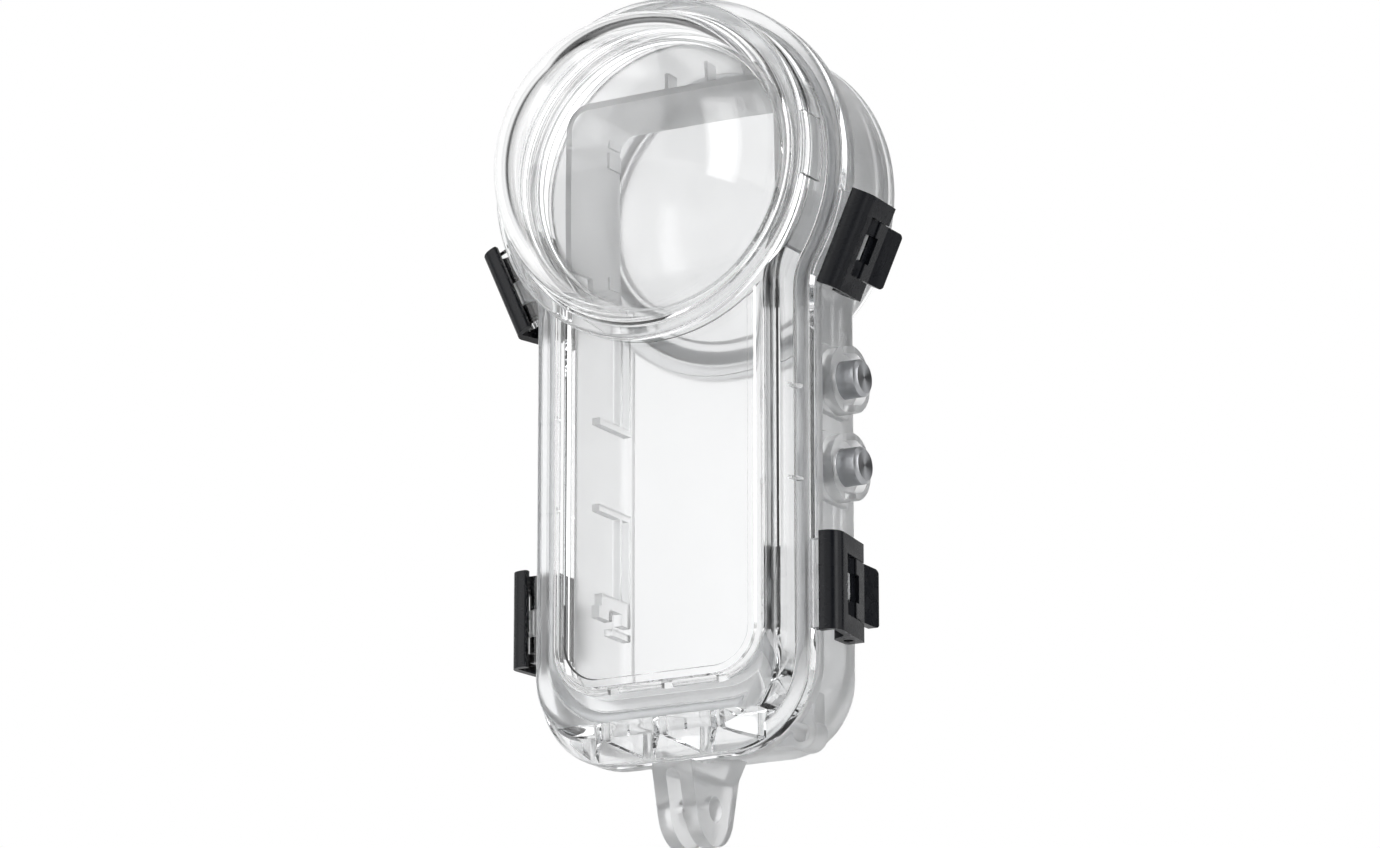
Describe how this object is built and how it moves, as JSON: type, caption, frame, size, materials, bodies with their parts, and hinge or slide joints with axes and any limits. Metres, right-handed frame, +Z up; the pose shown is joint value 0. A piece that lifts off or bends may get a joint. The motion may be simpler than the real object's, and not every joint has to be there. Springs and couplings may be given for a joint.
{
  "type": "action camera dive housing",
  "caption": "Clear sealed dive housing for a stick action camera: domed round head, draw latches on a sealed flange, sprung push buttons and a finger mount.",
  "frame": {"origin": "middle of the finger mount's cross hole, on the housing's centre plane", "axes": "+X to the right seen from the front, the front window faces -Y, +Z up towards the round head"},
  "size_m": [0.0912, 0.0984, 0.1747],
  "materials": {
    "clear_shell": "glossy clear moulding",
    "frosted_shell": "frosted clear moulding",
    "dome": "polished optical dome",
    "black_plastic": "satin black moulding",
    "button_steel": "radially brushed face, darker bevel",
    "pin_steel": "ground steel pin, clip and spring wire",
    "seal_rubber": "translucent silicone"
  },
  "bodies": {
    "case": {"rear_shell": "frosted_shell", "front_shell": "clear_shell", "front_dome": "dome", "rear_dome": "dome", "front_dome_ring": "clear_shell", "rear_dome_ring": "frosted_shell", "main_seal": "seal_rubber", "front_dome_seal": "seal_rubber", "rear_dome_seal": "seal_rubber", "lever_pin_upper_right": "pin_steel", "lever_pin_lower_right": "pin_steel", "lever_pin_upper_left": "pin_steel", "lever_pin_lower_left": "pin_steel", "button_seal_upper": "seal_rubber", "button_spring_upper": "pin_steel", "button_seal_lower": "seal_rubber", "button_spring_lower": "pin_steel"},
    "lever_upper_right": {"latch_lever_upper_right": "black_plastic", "hook_pin_upper_right": "pin_steel"},
    "hook_upper_right": {"latch_hook_upper_right": "black_plastic"},
    "lever_lower_right": {"latch_lever_lower_right": "black_plastic", "hook_pin_lower_right": "pin_steel"},
    "hook_lower_right": {"latch_hook_lower_right": "black_plastic"},
    "lever_upper_left": {"latch_lever_upper_left": "black_plastic", "hook_pin_upper_left": "pin_steel"},
    "hook_upper_left": {"latch_hook_upper_left": "black_plastic"},
    "lever_lower_left": {"latch_lever_lower_left": "black_plastic", "hook_pin_lower_left": "pin_steel"},
    "hook_lower_left": {"latch_hook_lower_left": "black_plastic"},
    "button_upper": {"button_cap_upper": "button_steel", "button_clip_upper": "pin_steel", "button_pad_upper": "seal_rubber"},
    "button_lower": {"button_cap_lower": "button_steel", "button_clip_lower": "pin_steel", "button_pad_lower": "seal_rubber"}
  },
  "joints": [
    {"name": "latch_upper_right", "type": "hinge", "parent": "case", "child": "lever_upper_right", "pos_m": [0.03804, -0.003, 0.11127], "axis": [-0.4147, 0, -0.91], "range_deg": [0, 100]},
    {"name": "hook_upper_right_turn", "type": "hinge", "parent": "lever_upper_right", "child": "hook_upper_right", "pos_m": [0.03795, 0.0011, 0.11131], "axis": [-0.4147, 0, -0.91], "range_deg": [-130, 0]},
    {"name": "latch_lower_right", "type": "hinge", "parent": "case", "child": "lever_lower_right", "pos_m": [0.0341, -0.003, 0.0412], "axis": [0, 0, -1], "range_deg": [0, 100]},
    {"name": "hook_lower_right_turn", "type": "hinge", "parent": "lever_lower_right", "child": "hook_lower_right", "pos_m": [0.034, 0.0011, 0.0412], "axis": [0, 0, -1], "range_deg": [-130, 0]},
    {"name": "latch_upper_left", "type": "hinge", "parent": "case", "child": "lever_upper_left", "pos_m": [-0.03804, -0.003, 0.11127], "axis": [-0.4147, 0, 0.91], "range_deg": [0, 100]},
    {"name": "hook_upper_left_turn", "type": "hinge", "parent": "lever_upper_left", "child": "hook_upper_left", "pos_m": [-0.03795, 0.0011, 0.11131], "axis": [-0.4147, 0, 0.91], "range_deg": [-130, 0]},
    {"name": "latch_lower_left", "type": "hinge", "parent": "case", "child": "lever_lower_left", "pos_m": [-0.0341, -0.003, 0.0412], "axis": [0, 0, 1], "range_deg": [0, 100]},
    {"name": "hook_lower_left_turn", "type": "hinge", "parent": "lever_lower_left", "child": "hook_lower_left", "pos_m": [-0.034, 0.0011, 0.0412], "axis": [0, 0, 1], "range_deg": [-130, 0]},
    {"name": "press_upper", "type": "slide", "parent": "case", "child": "button_upper", "axis": [-1, 0, 0], "range_m": [0, 0.0014], "stiffness_N_per_m": 600, "springref_m": -0.002, "deforming": ["button_spring_upper"]},
    {"name": "press_lower", "type": "slide", "parent": "case", "child": "button_lower", "axis": [-1, 0, 0], "range_m": [0, 0.0014], "stiffness_N_per_m": 600, "springref_m": -0.002, "deforming": ["button_spring_lower"]}
  ],
  "couplings": [
    {"joint": "hook_upper_right_turn", "follows": "latch_upper_right", "ratio": -1.3},
    {"joint": "hook_lower_right_turn", "follows": "latch_lower_right", "ratio": -1.3},
    {"joint": "hook_upper_left_turn", "follows": "latch_upper_left", "ratio": -1.3},
    {"joint": "hook_lower_left_turn", "follows": "latch_lower_left", "ratio": -1.3}
  ]
}
